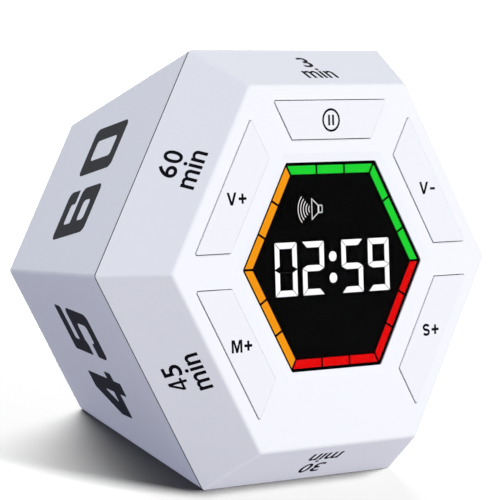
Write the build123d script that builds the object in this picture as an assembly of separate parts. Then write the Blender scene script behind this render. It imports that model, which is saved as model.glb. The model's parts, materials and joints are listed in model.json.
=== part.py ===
"""Flip timer: a two-part hexagonal case with a lit display, five keys and a rechargeable cell.

While a piece is modelled, X is right, Y is up the front face, Z is out of the front face, and Z = 0 is
the seam between the two shells. The pieces are then stood on the lower rear facet, the front facing -Y.
"""
from build123d import *
import os
from math import cos, radians, sin, tan

# The case has six sides, named as they lie on the front face, anticlockwise from the right
SIDE_NAMES = ("upper_right", "upper", "upper_left", "lower_left", "lower", "lower_right")
SIDES = len(SIDE_NAMES)
COS30 = cos(radians(30))
TAN30 = tan(radians(30))

# Digits: four seven-segment figures in two pairs with a colon between them
READING = "02:59"
DIGIT_HEIGHT = 9.0
DIGIT_WIDTH = 4.9
DIGIT_STROKE = 1.1
DIGIT_PITCH = 6.0
PAIR_PITCH = 8.7
DIGIT_DROP = 0.3
SEGMENT_SPLIT = 0.14
COLON_DIAMETER = 1.66
COLON_SPACING = 3.6

# Sound symbol: the lit field in the upper part of the display
SYMBOL_WIDTH = 6.2
SYMBOL_HEIGHT = 5.0
SYMBOL_X = -4.6
SYMBOL_Y = 9.3

# Progress ring: bars round the edge of the display
RING_MARGIN = 2.14
RING_WIDTH = 1.4
RING_SPLIT = 0.42
RING_BORDER = 0.55
BARS_PER_SIDE = 3
RING_COLOURS = {
    "green": ("upper", "upper_right"),
    "red": ("lower_right", "lower"),
    "orange": ("lower_left", "upper_left"),
}

# Display stack, from the face inwards
BEZEL_WIDTH = 1.5
BEZEL_DEPTH = 0.25
BEZEL_LAND = 0.3
WINDOW_CORNER = 0.5
WINDOW_THICKNESS = 0.2
WINDOW_PLAY = 0.05
GLUE_THICKNESS = 0.05
MASK_OVERLAP = 1.0
MASK_PLAY = 0.1
MASK_THICKNESS = 0.4
DIFFUSER_INSERT = 1.0
DIFFUSER_PLAY = 0.03
LED_LENGTH = 1.6
LED_WIDTH = 0.8
LED_HEIGHT = 0.6
PEG_DIAMETER = 1.6
PEG_PLAY = 0.1
PEG_X = 7.0
PEG_Y = 9.6

# Case: walls and edges
WALL = 2.2
FRONT_DEPTH = 10.9
FRONT_SLOPE = 30.0
REAR_DEPTH = 42.0
REAR_SLOPE = 15.0
EDGE_RADIUS = 0.8
SEAM_GAP = 0.4
SEAM_DEPTH = 1.0
LIP_HEIGHT = 2.0
LIP_ROOT = 2.5
LIP_THICKNESS = 1.0
LIP_PLAY = 0.1

# Keys: five flush trapezoids round the window, the lower side left free
KEY_SIDES = {
    "pause": "upper",
    "volume_up": "upper_left",
    "minute": "lower_left",
    "second": "lower_right",
    "volume_down": "upper_right",
}
KEY_BRIDGE = 3.65
KEY_HEIGHT = 6.7
KEY_MARGIN = 2.45
KEY_CORNER = 0.4
KEY_EDGE = 0.1
KEY_GAP = 0.15
KEY_FLANGE = 0.5
KEY_FLANGE_THICKNESS = 1.0
KEY_WALL = 1.2
KEY_RIB = 0.8
KEY_PLAY = 0.05
KEY_STEM = 3.0
KEY_STEM_DROP = 0.2
KEY_TRAVEL = 0.5

# Key switches: square push switches soldered to the main board
SWITCH_SIDE = 6.0
SWITCH_HEIGHT = 4.3
SWITCH_BASE_HEIGHT = 3.2
SWITCH_COVER = 0.3
SWITCH_TAB_WIDTH = 3.4
SWITCH_TAB_HEIGHT = 2.2
PLUNGER_DIAMETER = 3.4
PLUNGER_SINK = 1.2
PLUNGER_PLAY = 0.1
PLUNGER_SPARE = 0.2

# Main board and its parts on the rear side: width, height, thickness, then the place of the middle
BOARD_THICKNESS = 1.6
BOARD_MARGIN = 1.2
CONTROLLER = (7.0, 7.0, 1.4, 20.0, -10.6)
DRIVER = (4.0, 9.9, 1.5, -20.0, -10.6)
SENSOR = (3.0, 3.0, 1.0, -19.5, 8.5)
CHIP_LEGS = 8
LEG_LENGTH = 1.0
LEG_WIDTH = 0.4
LEG_HEIGHT = 0.5
CHIP_EDGE = 0.25
CRYSTAL_DIAMETER = 2.0
CRYSTAL_LENGTH = 6.0
CRYSTAL_X = 19.5
CRYSTAL_Y = 6.0
CAPACITOR_SIZE = (2.0, 1.25, 0.9)
CAPACITOR_PLACES = [(-19.5, 12.5), (16.5, 15.5), (19.0, 13.0), (-16.5, 15.5)]

# Bosses and screws
BOSS_DIAMETER = 4.0
BOSS_CLEARANCE = 0.3
PILOT_DIAMETER = 1.9
SCREW_DIAMETER = 1.8
SCREW_HOLE = 2.3
SCREW_HEAD = 3.8
SCREW_HEAD_HEIGHT = 1.5
SCREW_HEAD_EDGE = 0.5
SCREW_SLOT = 0.6
SCREW_SLOT_DEPTH = 0.8
SCREW_REACH = 5.0
SCREW_SPARE = 1.0
BOSS_LENGTH = 28.0
WELL_BORE = 4.6
WELL_WALL = 1.2
WELL_FLOOR = 2.0

# Cell, taped to the rear of the main board
CELL_WIDTH = 30.0
CELL_HEIGHT = 25.0
CELL_THICKNESS = 5.5
CELL_EDGE = 1.8
CELL_Y = 1.5
STRIP_WIDTH = 22.0
STRIP_HEIGHT = 1.5
STRIP_THICKNESS = 3.7
TAPE_THICKNESS = 0.8
TAPE_MARGIN = 3.0

# Loudspeaker behind the sound holes
SPEAKER_DIAMETER = 20.0
SPEAKER_Y = 5.5
SPEAKER_RIM = 1.6
SPEAKER_DEPTH = 3.0
SPEAKER_SKIN = 0.6
SPEAKER_PLAY = 0.15
SPEAKER_TAPER = 1.4
MAGNET_DIAMETER = 11.0
MAGNET_THICKNESS = 2.2
CONE_THICKNESS = 0.25
CONE_DEPTH = 1.3
CONE_CAP = 5.0
GASKET_THICKNESS = 0.8
SEAT_WALL = 1.2
SEAT_HEIGHT = 3.2
SOUND_HOLE = 1.5
SOUND_PITCH = 3.0
SOUND_RINGS = 2

# Power board: parallel to the back, with the socket and the slide switch standing on it
POWER_GAP = 1.0
OPENING_PLAY = 0.2
POWER_WIDTH = 33.0
POWER_HEIGHT = 9.0
POWER_THICKNESS = 1.2
POWER_POST = 5.0
POWER_SCREW_INSET = 2.7
USB_WIDTH = 8.94
USB_HEIGHT = 3.2
USB_SKIN = 0.3
USB_CORNER = 1.4
USB_INSET = 0.2
USB_TONGUE_WIDTH = 6.7
USB_TONGUE = 0.7
USB_TONGUE_INSET = 1.0
USB_BLOCK = 1.6
SLIDE_LENGTH = 8.6
SLIDE_WIDTH = 4.0
SLIDE_HEIGHT = 3.5
SLIDE_SKIN = 0.5
SLIDE_TRAVEL = 2.0
SLIDE_PLAY = 0.1
KNOB_LENGTH = 2.4
KNOB_WIDTH = 2.0
KNOB_SHOE = 1.4
KNOB_INSET = 0.1
KNOB_EDGE = 0.2
DISH_MARGIN = 1.4
DISH_DEPTH = 0.8
CHARGE_CHIP = (5.0, 4.0, 1.5, 5.5)

# Connectors and leads
PLUG_WIDTH = 4.6
PLUG_HEIGHT = 4.2
PLUG_LENGTH = 4.0
PLUG_STEP = 0.5
LEAD_DIAMETER = 1.1
LEAD_PITCH = 1.8
LEAD_ARC_SHARE = 0.45
BATTERY_PLUG_X = 4.6
SUPPLY_PLUG_X = -4.6
SPEAKER_PLUG_X = 0.0
LOWER_PLUG_Y = -18.6
UPPER_PLUG_Y = 18.4
SPEAKER_TERMINAL = 6.9
SPEAKER_LEAD_RUN = 9.0
SUPPLY_LEAD_RISE = 7.0
SUPPLY_LEAD_DROP = 8.0
BATTERY_LEAD_RUN = 1.6
BATTERY_LEAD_STEP = 1.0
BATTERY_LEAD_RISE = 3.0
BATTERY_ARCH = 5.0
BATTERY_ARCH_FALL = 1.6
BATTERY_ARCH_RUN = 1.8

# Directions from the middle of the face to its sides and corners, in degrees
side_turn = 360 / SIDES
side_angles = {name: side_turn * (number + 0.5) for number, name in enumerate(SIDE_NAMES)}
key_angles = {key: side_angles[side] for key, side in KEY_SIDES.items()}
board_screw_angles = [side_turn * corner for corner in range(0, SIDES, 2)]
case_screw_angles = [side_turn * corner for corner in range(1, SIDES, 2)]

# Sizes that follow, from the digits outwards
digits_half_width = PAIR_PITCH / 2 + DIGIT_PITCH + DIGIT_WIDTH / 2
digits_half_height = DIGIT_HEIGHT / 2 + DIGIT_DROP
ring_inner = COS30 * (digits_half_width + RING_MARGIN) + digits_half_height / 2
ring_outer = ring_inner + RING_WIDTH
window_apothem = ring_outer + RING_BORDER
mask_apothem = window_apothem + MASK_OVERLAP
key_inner = window_apothem + KEY_BRIDGE
key_outer = key_inner + KEY_HEIGHT
key_middle = (key_inner + key_outer) / 2
face_apothem = key_outer + KEY_MARGIN
seam_apothem = face_apothem + FRONT_DEPTH * tan(radians(FRONT_SLOPE))
back_apothem = seam_apothem - REAR_DEPTH * tan(radians(REAR_SLOPE))

# Levels along Z, from the face to the back
face_inner = FRONT_DEPTH - WALL
bezel_edge = FRONT_DEPTH - BEZEL_DEPTH
mask_front = bezel_edge - BEZEL_LAND
window_back = mask_front + GLUE_THICKNESS
window_front = window_back + WINDOW_THICKNESS
mask_back = mask_front - MASK_THICKNESS
flange_top = face_inner - KEY_PLAY
flange_bottom = flange_top - KEY_FLANGE_THICKNESS
plunger_top = flange_bottom - KEY_STEM_DROP
board_front = plunger_top - SWITCH_HEIGHT
board_back = board_front - BOARD_THICKNESS
back_inner = WALL - REAR_DEPTH
boss_end = face_inner - BOSS_LENGTH
power_back = back_inner + POWER_POST
power_front = power_back + POWER_THICKNESS

# Places across the case
boss_circle = mask_apothem / COS30 + BOSS_CLEARANCE + BOSS_DIAMETER / 2
key_side = BOSS_DIAMETER / 2 + BOSS_CLEARANCE + KEY_FLANGE
board_apothem = key_middle + SWITCH_SIDE / 2 + BOARD_MARGIN
seat_radius = SPEAKER_DIAMETER / 2 + SPEAKER_PLAY
power_y = SPEAKER_Y - seat_radius - SEAT_WALL - POWER_GAP - POWER_HEIGHT / 2
power_screw_x = POWER_WIDTH / 2 - POWER_SCREW_INSET
power_room = power_screw_x - BOSS_DIAMETER / 2
power_spacing = (2 * power_room - USB_WIDTH - SLIDE_LENGTH) / 3
usb_x = power_spacing + USB_WIDTH / 2 - power_room
slide_middle = power_room - power_spacing - SLIDE_LENGTH / 2
knob_x = slide_middle + SLIDE_TRAVEL / 2


def hexagon(apothem):
    """Hexagon with flat sides above and below."""
    return RegularPolygon(apothem, SIDES, major_radius=False)


def prism(outline, start, end):
    """Outline pushed along Z from one level to another."""
    return extrude(Plane.XY.offset(min(start, end)) * outline, amount=abs(end - start), dir=(0, 0, 1))


def tapered(apothem, depth, slope):
    """Hexagonal block from Z = 0 up, its sides leaning in by the slope."""
    return extrude(hexagon(apothem), amount=depth, taper=slope)


def disc(diameter, start, end, x=0.0, y=0.0):
    """Round bar along Z at a place."""
    return prism(Pos(x, y) * Circle(diameter / 2), start, end)


def block(size_x, size_y, start, end, x=0.0, y=0.0):
    """Square bar along Z at a place."""
    return prism(Pos(x, y) * Rectangle(size_x, size_y), start, end)


def around(angle, radius):
    """Place on a circle about the middle of the case."""
    return radius * cos(radians(angle)), radius * sin(radians(angle))


def group(solids):
    """Separate solids kept together in one node."""
    return Compound([solid for shape in solids for solid in shape.solids()])


def key_outline(grow):
    """Trapezoid of the top key's opening, grown on every side."""
    low = key_inner - grow
    high = key_outer + grow
    side = (key_side - grow) / COS30
    corners = [
        (low * TAN30 - side, low),
        (high * TAN30 - side, high),
        (side - high * TAN30, high),
        (side - low * TAN30, low),
    ]
    outline = Polygon(*corners, align=None)
    return fillet(outline.vertices(), KEY_CORNER + grow) if KEY_CORNER + grow > 0 else outline


def turned(angle, shape):
    """Shape made at the top of the face, turned to another side of it."""
    return Rot(0, 0, angle - 90) * shape


def segment_outlines():
    """The seven bars of one figure about its middle, by their usual letters."""
    right = DIGIT_WIDTH / 2
    top = DIGIT_HEIGHT / 2
    inner_right = right - DIGIT_STROKE
    inner_top = top - DIGIT_STROKE
    half = DIGIT_STROKE / 2
    upper = [(right, top), (right, 0), (inner_right, half), (inner_right, inner_top)]
    cap = [(-right, top), (right, top), (inner_right, inner_top), (-inner_right, inner_top)]
    middle = [(-right, 0), (-inner_right, half), (inner_right, half), (right, 0),
              (inner_right, -half), (-inner_right, -half)]
    corners = {
        "a": cap,
        "b": upper,
        "c": [(x, -y) for x, y in upper],
        "d": [(x, -y) for x, y in cap],
        "e": [(-x, -y) for x, y in upper],
        "f": [(-x, y) for x, y in upper],
        "g": middle,
    }
    return {
        letter: offset(make_face(Polyline(*points, close=True)), -SEGMENT_SPLIT / 2, kind=Kind.INTERSECTION)
        for letter, points in corners.items()
    }


def figure_places():
    """Middles of the four figures, from left to right."""
    inner = PAIR_PITCH / 2
    return [(x, -DIGIT_DROP) for x in (-inner - DIGIT_PITCH, -inner, inner, inner + DIGIT_PITCH)]


LIT_LETTERS = {
    "0": "abcdef", "1": "bc", "2": "abdeg", "3": "abcdg", "4": "bcfg",
    "5": "acdfg", "6": "acdefg", "7": "abc", "8": "abcdefg", "9": "abcdfg",
}


def figure_bars(lit):
    """Outlines of the bars that are lit, or of those that are not, for the reading shown."""
    bars = []
    for figure, place in zip(READING.replace(":", ""), figure_places()):
        for letter, outline in segment_outlines().items():
            if (letter in LIT_LETTERS[figure]) == lit:
                bars.append(Pos(*place) * outline)
    return bars


def ring_bars(sides):
    """Outlines of the progress ring's bars along the named sides."""
    half_split = RING_SPLIT / 2
    ends = half_split / COS30
    step = 2 * (ring_inner + ring_outer) / 2 * TAN30 / BARS_PER_SIDE
    bars = []
    for side in sides:
        for number in range(BARS_PER_SIDE):
            left = step * (number - BARS_PER_SIDE / 2) + half_split
            right = left + step - RING_SPLIT
            first = number == 0
            last = number == BARS_PER_SIDE - 1
            corners = [
                (ends - ring_inner * TAN30 if first else left, ring_inner),
                (ends - ring_outer * TAN30 if first else left, ring_outer),
                (ring_outer * TAN30 - ends if last else right, ring_outer),
                (ring_inner * TAN30 - ends if last else right, ring_inner),
            ]
            bars.append(turned(side_angles[side], Polygon(*corners, align=None)))
    return bars


def colon_dots():
    """Outlines of the two dots between the pairs of figures."""
    return [Pos(0, side * COLON_SPACING / 2 - DIGIT_DROP) * Circle(COLON_DIAMETER / 2) for side in (1, -1)]


def symbol_field():
    """Outline of the lit field behind the sound symbol."""
    return [Pos(SYMBOL_X, SYMBOL_Y) * Rectangle(SYMBOL_WIDTH, SYMBOL_HEIGHT)]


lit_areas = {f"ring_bars_{colour}": ring_bars(sides) for colour, sides in RING_COLOURS.items()}
lit_areas["digit_bars_lit"] = figure_bars(True)
lit_areas["digit_bars_unlit"] = figure_bars(False)
lit_areas["colon_dots"] = colon_dots()
lit_areas["symbol_field"] = symbol_field()
all_areas = [outline for outlines in lit_areas.values() for outline in outlines]


def peg_places():
    """Places of the light box's pegs, clear of every lit area."""
    return [(PEG_X, PEG_Y), (-PEG_X, -PEG_Y), (PEG_X, -PEG_Y)]


def make_diffusers(outlines):
    """Milky plugs that fill the mask's holes and the mouths of the light box's chambers."""
    return group([prism(outline, mask_back - DIFFUSER_INSERT, mask_front) for outline in outlines])


def area_holes(start, end):
    """Cutters for the lit areas, with the diffusers' play."""
    loose = [offset(outline, DIFFUSER_PLAY, kind=Kind.INTERSECTION) for outline in all_areas]
    return [prism(outline, start, end) for outline in loose]


def make_mask():
    """Black film with a hole for every lit area."""
    return prism(hexagon(mask_apothem), mask_back, mask_front) - area_holes(mask_back, mask_front)


def make_light_box():
    """White reflector with a chamber for every lit area, pegged to the board."""
    box = prism(hexagon(mask_apothem), board_front, mask_back)
    pegs = [disc(PEG_DIAMETER, board_back, mask_back, x, y) for x, y in peg_places()]
    return box + pegs - area_holes(board_front, mask_back)


def make_leds():
    """One small LED on the board under every lit area, lying along it."""
    leds = []
    for outline in all_areas:
        longest = outline.edges().sort_by(Edge.length)[-1]
        along = longest % 0 if longest.geom_type == GeomType.LINE else Vector(1, 0, 0)
        place = Plane(outline.center() + Vector(0, 0, board_front), x_dir=along, z_dir=(0, 0, 1))
        leds.append(extrude(place * Rectangle(LED_LENGTH, LED_WIDTH), amount=LED_HEIGHT))
    return group(leds)


def window_outline(grow):
    """Outline of the window's opening, grown on every side."""
    outline = hexagon(window_apothem + grow)
    return fillet(outline.vertices(), WINDOW_CORNER + grow)


def make_window():
    """Clear film in the opening, glued to the mask behind it."""
    return prism(window_outline(-WINDOW_PLAY), window_back, window_front)


def make_front_shell():
    """Shallow tray with the bezel, the key openings and the screw bosses."""
    outer = tapered(seam_apothem, FRONT_DEPTH, FRONT_SLOPE)
    outer = fillet([edge for edge in outer.edges() if edge.center().Z > SEAM_GAP], EDGE_RADIUS)
    inset = WALL / cos(radians(FRONT_SLOPE))
    shell = outer - tapered(seam_apothem - inset, face_inner, FRONT_SLOPE)
    for angle in board_screw_angles:
        shell += disc(BOSS_DIAMETER, board_front, face_inner, *around(angle, boss_circle))
    for angle in case_screw_angles:
        shell += disc(BOSS_DIAMETER, boss_end, face_inner, *around(angle, boss_circle))
    bezel_rim = Plane.XY.offset(FRONT_DEPTH) * hexagon(window_apothem + BEZEL_WIDTH)
    bezel_foot = Plane.XY.offset(bezel_edge) * hexagon(window_apothem)
    shell -= loft([bezel_foot, bezel_rim], ruled=True)
    shell -= prism(window_outline(0), board_front, FRONT_DEPTH)
    shell -= prism(hexagon(mask_apothem + MASK_PLAY), board_front, mask_front)
    for angle in key_angles.values():
        shell -= turned(angle, prism(key_outline(0), flange_bottom, FRONT_DEPTH))
    pilot_depth = SCREW_REACH + SCREW_SPARE
    for angle in board_screw_angles:
        end = min(board_front + pilot_depth, face_inner)
        shell -= disc(PILOT_DIAMETER, board_front, end, *around(angle, boss_circle))
    for angle in case_screw_angles:
        shell -= disc(PILOT_DIAMETER, boss_end, boss_end + pilot_depth, *around(angle, boss_circle))
    return shell


def make_key():
    """Hollow cap of the top key, with a retaining flange, ribs and a stem over its switch."""
    cap = prism(key_outline(-KEY_GAP), flange_bottom, FRONT_DEPTH)
    cap = fillet(cap.edges().group_by(Axis.Z)[-1], KEY_EDGE)
    cap += prism(key_outline(KEY_FLANGE), flange_bottom, flange_top)
    hollow = prism(key_outline(-KEY_GAP - KEY_WALL), flange_bottom, FRONT_DEPTH - KEY_WALL)
    long_rib = block(2 * key_outer, KEY_RIB, flange_bottom, FRONT_DEPTH, y=key_middle)
    cross_rib = block(KEY_RIB, 2 * KEY_HEIGHT, flange_bottom, FRONT_DEPTH, y=key_middle)
    stem = disc(KEY_STEM, plunger_top, FRONT_DEPTH - KEY_WALL, y=key_middle)
    return cap - hollow + (hollow & long_rib) + (hollow & cross_rib) + stem


def make_plunger():
    """Push rod of the top key's switch, sunk in the switch's base."""
    base_top = board_front + SWITCH_BASE_HEIGHT
    return disc(PLUNGER_DIAMETER, base_top - PLUNGER_SINK, plunger_top, y=key_middle)


def make_switch_base():
    """Moulded base of the top key's switch, bored for the plunger."""
    base_top = board_front + SWITCH_BASE_HEIGHT
    bore_floor = base_top - PLUNGER_SINK - KEY_TRAVEL - PLUNGER_SPARE
    base = block(SWITCH_SIDE, SWITCH_SIDE, board_front, base_top, y=key_middle)
    return base - disc(PLUNGER_DIAMETER + 2 * PLUNGER_PLAY, bore_floor, base_top, y=key_middle)


def make_switch_cover():
    """Steel plate over the top key's switch, with a tab folded down each side."""
    base_top = board_front + SWITCH_BASE_HEIGHT
    cover_width = SWITCH_SIDE + 2 * SWITCH_COVER
    cover = block(cover_width, SWITCH_TAB_WIDTH, base_top - SWITCH_TAB_HEIGHT, base_top, y=key_middle)
    cover -= block(SWITCH_SIDE, SWITCH_SIDE, base_top - SWITCH_TAB_HEIGHT, base_top, y=key_middle)
    cover += block(SWITCH_SIDE, SWITCH_SIDE, base_top, base_top + SWITCH_COVER, y=key_middle)
    cover += block(cover_width, SWITCH_TAB_WIDTH, base_top, base_top + SWITCH_COVER, y=key_middle)
    bore = PLUNGER_DIAMETER + 2 * PLUNGER_PLAY
    return cover - disc(bore, base_top, base_top + SWITCH_COVER, y=key_middle)


def make_main_board():
    """Hexagonal board, bored for the bosses, the screws and the light box's pegs."""
    board = prism(hexagon(board_apothem), board_back, board_front)
    for angle in case_screw_angles:
        hole = BOSS_DIAMETER + 2 * BOSS_CLEARANCE
        board -= disc(hole, board_back, board_front, *around(angle, boss_circle))
    for angle in board_screw_angles:
        board -= disc(SCREW_HOLE, board_back, board_front, *around(angle, boss_circle))
    for x, y in peg_places():
        board -= disc(PEG_DIAMETER + PEG_PLAY, board_back, board_front, x, y)
    return board


def make_chip(width, height, thickness, x, y):
    """Packaged chip on the rear of the main board, with a row of legs on the long sides."""
    low = board_back - thickness
    chip = block(width, height, low, board_back, x, y)
    chip = chamfer(chip.faces().sort_by(Axis.Z)[0].edges(), CHIP_EDGE)
    pitch = height / CHIP_LEGS
    for number in range(CHIP_LEGS):
        leg_y = y + pitch * (number - (CHIP_LEGS - 1) / 2)
        chip += block(width + 2 * LEG_LENGTH, LEG_WIDTH, board_back - LEG_HEIGHT, board_back, x, leg_y)
    return chip


def make_sensor():
    """Gravity sensor that tells which facet is down: a small leadless package."""
    width, height, thickness, x, y = SENSOR
    return block(width, height, board_back - thickness, board_back, x, y)


def make_crystal():
    """Clock crystal in a round can, lying on the board."""
    middle = board_back - CRYSTAL_DIAMETER / 2
    can = Cylinder(CRYSTAL_DIAMETER / 2, CRYSTAL_LENGTH, rotation=(90, 0, 0))
    return Pos(CRYSTAL_X, CRYSTAL_Y, middle) * can


def make_capacitors():
    """Chip capacitors on the rear of the main board."""
    width, height, thickness = CAPACITOR_SIZE
    return group([
        block(width, height, board_back - thickness, board_back, x, y) for x, y in CAPACITOR_PLACES
    ])


def make_screw(under_head, reach, inwards):
    """Pan-head screw at the middle: its head rests at a level, the shank points along Z or against it."""
    head_end = under_head - inwards * SCREW_HEAD_HEIGHT
    head = disc(SCREW_HEAD, under_head, head_end)
    rim = head.edges().filter_by_position(Axis.Z, head_end, head_end)
    head = fillet(rim, SCREW_HEAD_EDGE)
    slot_end = head_end + inwards * SCREW_SLOT_DEPTH
    for turn in (0, 90):
        head -= Rot(0, 0, turn) * block(SCREW_HEAD / 2, SCREW_SLOT, head_end, slot_end)
    return head + disc(SCREW_DIAMETER, under_head, under_head + inwards * reach)


def make_board_screws():
    """Screws that hold the main board on the front shell's short bosses."""
    screw = make_screw(board_back, BOARD_THICKNESS + SCREW_REACH, 1)
    return group([Pos(*around(angle, boss_circle)) * screw for angle in board_screw_angles])


def make_case_screws():
    """Screws in the back's wells that draw the two shells together."""
    screw = make_screw(boss_end - WELL_FLOOR, WELL_FLOOR + SCREW_REACH, 1)
    return group([Pos(*around(angle, boss_circle)) * screw for angle in case_screw_angles])


cell_front = board_back - TAPE_THICKNESS
cell_middle = cell_front - CELL_THICKNESS / 2


def make_cell():
    """Flat rechargeable cell with a rounded pouch."""
    pouch = block(CELL_WIDTH, CELL_HEIGHT, cell_front - CELL_THICKNESS, cell_front, y=CELL_Y)
    return fillet(pouch.edges().filter_by(Axis.Y), CELL_EDGE)


def make_cell_strip():
    """Strip over the cell's protection circuit, where its leads come out."""
    front = cell_middle + STRIP_THICKNESS / 2
    y = CELL_Y - CELL_HEIGHT / 2 - STRIP_HEIGHT / 2
    return block(STRIP_WIDTH, STRIP_HEIGHT, front - STRIP_THICKNESS, front, y=y)


def make_tape():
    """Foam tape between the cell and the board."""
    return block(CELL_WIDTH - 2 * TAPE_MARGIN, CELL_HEIGHT - 2 * TAPE_MARGIN,
                 cell_front, board_back, y=CELL_Y)


def spun(points):
    """Round piece about the loudspeaker's axis: points are radius and height above the back's inner face."""
    profile = make_face(Polyline(*points, close=True))
    return Pos(0, SPEAKER_Y, back_inner) * revolve(Plane.XZ * profile, axis=Axis.Z)


speaker_top = GASKET_THICKNESS + SPEAKER_DEPTH
rim_inner = SPEAKER_DIAMETER / 2 - SPEAKER_RIM


def make_gasket():
    """Foam ring between the loudspeaker and the back."""
    radius = SPEAKER_DIAMETER / 2
    return spun([(rim_inner, 0), (radius, 0), (radius, GASKET_THICKNESS), (rim_inner, GASKET_THICKNESS)])


def make_speaker_frame():
    """Pressed steel basket with its mounting rim towards the back."""
    radius = SPEAKER_DIAMETER / 2
    floor = speaker_top - SPEAKER_SKIN
    return spun([
        (rim_inner, GASKET_THICKNESS),
        (radius, GASKET_THICKNESS),
        (radius, GASKET_THICKNESS + SPEAKER_SKIN),
        (radius - SPEAKER_TAPER, speaker_top),
        (0, speaker_top),
        (0, floor),
        (rim_inner - SPEAKER_TAPER, floor),
    ])


def make_cone():
    """Thin cone with a domed cap, hung inside the basket's rim."""
    rim = rim_inner - SPEAKER_PLAY
    cap = CONE_CAP / 2
    low = GASKET_THICKNESS
    neck = low + CONE_DEPTH
    crown = low + CONE_DEPTH / 2
    return spun([
        (rim, low), (cap, neck - CONE_THICKNESS), (0, crown - CONE_THICKNESS),
        (0, crown), (cap, neck), (rim, low + CONE_THICKNESS),
    ])


def make_magnet():
    """Magnet on the basket's floor."""
    radius = MAGNET_DIAMETER / 2
    top = speaker_top + MAGNET_THICKNESS
    return spun([(0, speaker_top), (radius, speaker_top), (radius, top), (0, top)])


def sound_holes():
    """Places of the sound holes, in rings about the loudspeaker's axis."""
    places = [(0, SPEAKER_Y)]
    for ring in range(1, SOUND_RINGS + 1):
        for number in range(SIDES * ring):
            corner, part = divmod(number, ring)
            start = around(side_turn * corner, SOUND_PITCH * ring)
            end = around(side_turn * (corner + 1), SOUND_PITCH * ring)
            share = part / ring
            places.append((start[0] + (end[0] - start[0]) * share,
                           SPEAKER_Y + start[1] + (end[1] - start[1]) * share))
    return places


def usb_outline(grow):
    """Rounded outline of the charging socket."""
    shape = RectangleRounded(USB_WIDTH + 2 * grow, USB_HEIGHT + 2 * grow, USB_CORNER + grow)
    return Pos(usb_x, power_y) * shape


def knob_slot(length, width):
    """Outline about the whole travel of the switch's knob."""
    return Pos(slide_middle, power_y) * Rectangle(length + SLIDE_TRAVEL, width)


def make_rear_shell():
    """Deep cup with the seam lip, screw wells, loudspeaker seat, sound holes and socket openings."""
    outer = Rot(180, 0, 0) * tapered(seam_apothem, REAR_DEPTH, REAR_SLOPE)
    outer = fillet([edge for edge in outer.edges() if edge.center().Z < -SEAM_GAP], EDGE_RADIUS)
    inset = WALL / cos(radians(REAR_SLOPE))
    cavity_apothem = seam_apothem - inset
    shell = outer - Rot(180, 0, 0) * tapered(cavity_apothem, -back_inner, REAR_SLOPE)

    lip_outer = seam_apothem - WALL / cos(radians(FRONT_SLOPE)) - LIP_PLAY
    lip_inner = lip_outer - LIP_THICKNESS
    lip = tapered(lip_outer, LIP_HEIGHT, FRONT_SLOPE) - tapered(lip_inner, LIP_HEIGHT, FRONT_SLOPE)
    root = prism(hexagon(cavity_apothem), -LIP_ROOT, 0) - prism(hexagon(lip_inner), -LIP_ROOT, 0)
    shell += root & outer
    shell += lip
    seam_core = prism(hexagon(seam_apothem - SEAM_DEPTH), -SEAM_GAP, 0)
    shell -= prism(hexagon(seam_apothem), -SEAM_GAP, 0) - seam_core

    for angle in case_screw_angles:
        x, y = around(angle, boss_circle)
        shell += disc(WELL_BORE + 2 * WELL_WALL, -REAR_DEPTH, boss_end, x, y) & outer
        shell -= disc(WELL_BORE, -REAR_DEPTH, boss_end - WELL_FLOOR, x, y)
        shell -= disc(SCREW_HOLE, -REAR_DEPTH, boss_end, x, y)

    seat_top = back_inner + SEAT_HEIGHT
    seat = disc(2 * (seat_radius + SEAT_WALL), back_inner, seat_top, y=SPEAKER_Y)
    shell += seat - disc(2 * seat_radius, back_inner, seat_top, y=SPEAKER_Y)
    for x, y in sound_holes():
        shell -= disc(SOUND_HOLE, -REAR_DEPTH, back_inner, x, y)

    for side in (-1, 1):
        post = disc(BOSS_DIAMETER, back_inner, power_back, side * power_screw_x, power_y)
        shell += post - disc(PILOT_DIAMETER, back_inner, power_back, side * power_screw_x, power_y)
    shell -= prism(usb_outline(OPENING_PLAY), -REAR_DEPTH, back_inner)
    slot = knob_slot(KNOB_LENGTH + 2 * OPENING_PLAY, KNOB_WIDTH + 2 * OPENING_PLAY)
    shell -= prism(slot, -REAR_DEPTH, back_inner)
    dish = knob_slot(KNOB_LENGTH + 2 * DISH_MARGIN, KNOB_WIDTH + 2 * DISH_MARGIN)
    dish = fillet(dish.vertices(), DISH_MARGIN)
    shell -= prism(dish, -REAR_DEPTH, DISH_DEPTH - REAR_DEPTH)
    return shell


def make_power_board():
    """Small board on two posts, parallel to the back."""
    board = block(POWER_WIDTH, POWER_HEIGHT, power_back, power_front, y=power_y)
    for side in (-1, 1):
        board -= disc(SCREW_HOLE, power_back, power_front, side * power_screw_x, power_y)
    return board


def make_power_screws():
    """Screws that hold the power board on its posts."""
    reach = POWER_THICKNESS + POWER_POST - SCREW_SPARE
    screw = make_screw(power_front, reach, -1)
    return group([Pos(side * power_screw_x, power_y) * screw for side in (-1, 1)])


def make_usb_shell():
    """Drawn steel sleeve of the charging socket, open at the back."""
    mouth = USB_INSET - REAR_DEPTH
    return prism(usb_outline(0), mouth, power_back) - prism(usb_outline(-USB_SKIN), mouth, power_back)


def make_usb_tongue():
    """Contact tongue on the block that fills the foot of the socket."""
    foot = prism(usb_outline(-USB_SKIN), power_back - USB_BLOCK, power_back)
    tip = USB_INSET + USB_TONGUE_INSET - REAR_DEPTH
    return foot + block(USB_TONGUE_WIDTH, USB_TONGUE, tip, power_back, usb_x, power_y)


slide_back = power_back - SLIDE_HEIGHT


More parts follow.
